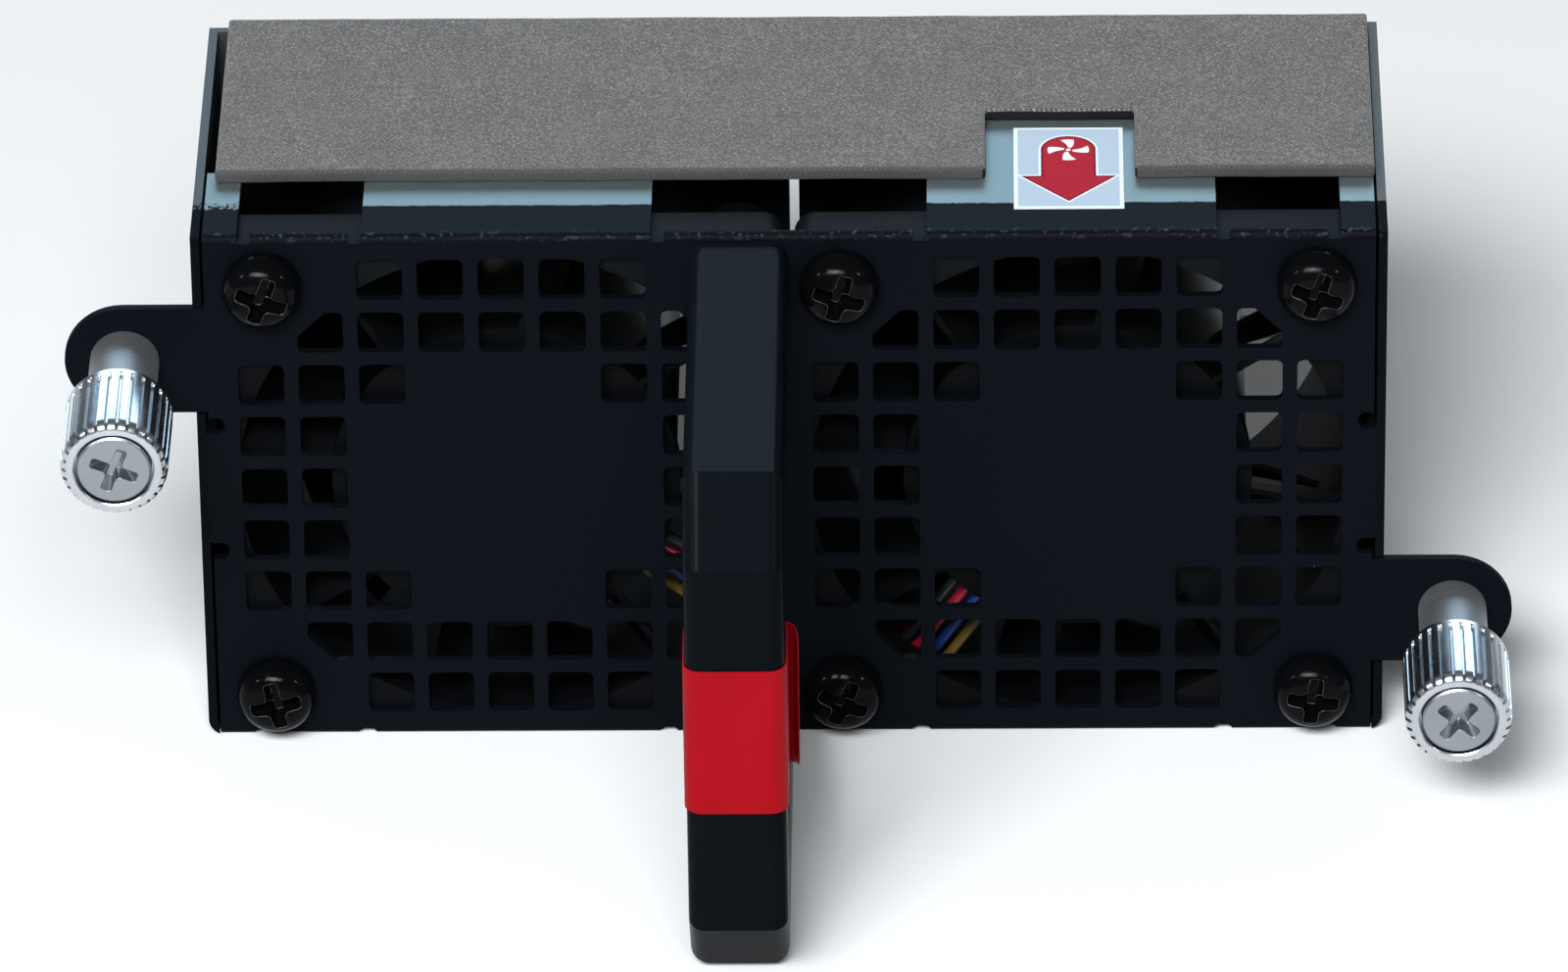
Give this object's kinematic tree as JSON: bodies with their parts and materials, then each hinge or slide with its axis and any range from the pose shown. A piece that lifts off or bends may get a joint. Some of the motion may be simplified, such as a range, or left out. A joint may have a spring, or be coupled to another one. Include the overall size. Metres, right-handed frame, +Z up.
{
  "type": "dual fan assembly",
  "caption": "Plug-in fan tray with axial fans side by side behind a perforated panel, a D-shaped pull handle, captive thumbscrews on ears, a top gasket and a rear plug.",
  "frame": {"origin": "midway between the two thumbscrews, on the rear face of the panel's ears, which is the mounting plane", "axes": "+X along the panel to the right as seen from the front, +Y from the panel towards the rear plug, +Z up towards the gasket"},
  "size_m": [0.0976, 0.0712, 0.0404],
  "materials": {
    "black_paint": "satin",
    "plated_sheet": "satin",
    "gasket_fabric": "matte",
    "label_film": "satin",
    "handle_black": "satin",
    "red_tape": "satin",
    "black_screw": "satin",
    "knob_chrome": "polished",
    "turned_steel": "satin",
    "spring_steel": "satin",
    "frame_plastic": "matte",
    "blade_plastic": "satin",
    "bearing_steel": "polished",
    "core_steel": "matte",
    "copper_wire": "satin",
    "board_green": "satin",
    "magnet_black": "matte",
    "lead_red": "gloss",
    "lead_blue": "gloss",
    "lead_black": "gloss",
    "lead_yellow": "gloss",
    "plug_plastic": "matte",
    "contact_brass": "polished"
  },
  "bodies": {
    "tray": {"front_panel": "black_paint", "cage": "plated_sheet", "emi_gasket": "gasket_fabric", "airflow_label": "label_film", "pull_handle": "handle_black", "handle_band": "red_tape", "fan_screws": "black_screw", "handle_screws": "black_screw", "connector_housing": "plug_plastic", "connector_pins": "contact_brass", "left_fan_frame": "frame_plastic", "left_bearing_outer": "bearing_steel", "left_motor_board": "board_green", "left_stator_core": "core_steel", "left_stator_coils": "copper_wire", "left_lead_red": "lead_red", "left_lead_blue": "lead_blue", "left_lead_black": "lead_black", "left_lead_yellow": "lead_yellow", "left_screw_sleeve": "turned_steel", "right_fan_frame": "frame_plastic", "right_bearing_outer": "bearing_steel", "right_motor_board": "board_green", "right_stator_core": "core_steel", "right_stator_coils": "copper_wire", "right_lead_red": "lead_red", "right_lead_blue": "lead_blue", "right_lead_black": "lead_black", "right_lead_yellow": "lead_yellow", "right_screw_sleeve": "turned_steel"},
    "left_rotor": {"left_impeller": "blade_plastic", "left_rotor_yoke": "core_steel", "left_rotor_magnet": "magnet_black", "left_shaft": "turned_steel", "left_bearing_inner": "bearing_steel"},
    "left_screw_slider": {"left_screw_spring": "spring_steel"},
    "left_thumbscrew": {"left_thumb_knob": "knob_chrome", "left_captive_screw": "turned_steel"},
    "right_rotor": {"right_impeller": "blade_plastic", "right_rotor_yoke": "core_steel", "right_rotor_magnet": "magnet_black", "right_shaft": "turned_steel", "right_bearing_inner": "bearing_steel"},
    "right_screw_slider": {"right_screw_spring": "spring_steel"},
    "right_thumbscrew": {"right_thumb_knob": "knob_chrome", "right_captive_screw": "turned_steel"}
  },
  "joints": [
    {"name": "left_fan_spin", "type": "hinge", "parent": "tray", "child": "left_rotor", "pos_m": [-0.01935, 0.01, 0], "axis": [0, 1, 0], "continuous": true},
    {"name": "left_screw_push", "type": "slide", "parent": "tray", "child": "left_screw_slider", "axis": [0, 1, 0], "range_m": [0, 0.004], "stiffness_N_per_m": 400, "springref_m": -0.004, "deforming": ["left_screw_spring"]},
    {"name": "left_screw_turn", "type": "hinge", "parent": "left_screw_slider", "child": "left_thumbscrew", "pos_m": [-0.0448, -0.01, 0.0101], "axis": [0, 1, 0], "continuous": true},
    {"name": "right_fan_spin", "type": "hinge", "parent": "tray", "child": "right_rotor", "pos_m": [0.01935, 0.01, 0], "axis": [0, 1, 0], "continuous": true},
    {"name": "right_screw_push", "type": "slide", "parent": "tray", "child": "right_screw_slider", "axis": [0, 1, 0], "range_m": [0, 0.004], "stiffness_N_per_m": 400, "springref_m": -0.004, "deforming": ["right_screw_spring"]},
    {"name": "right_screw_turn", "type": "hinge", "parent": "right_screw_slider", "child": "right_thumbscrew", "pos_m": [0.0448, -0.01, -0.0101], "axis": [0, 1, 0], "continuous": true}
  ]
}
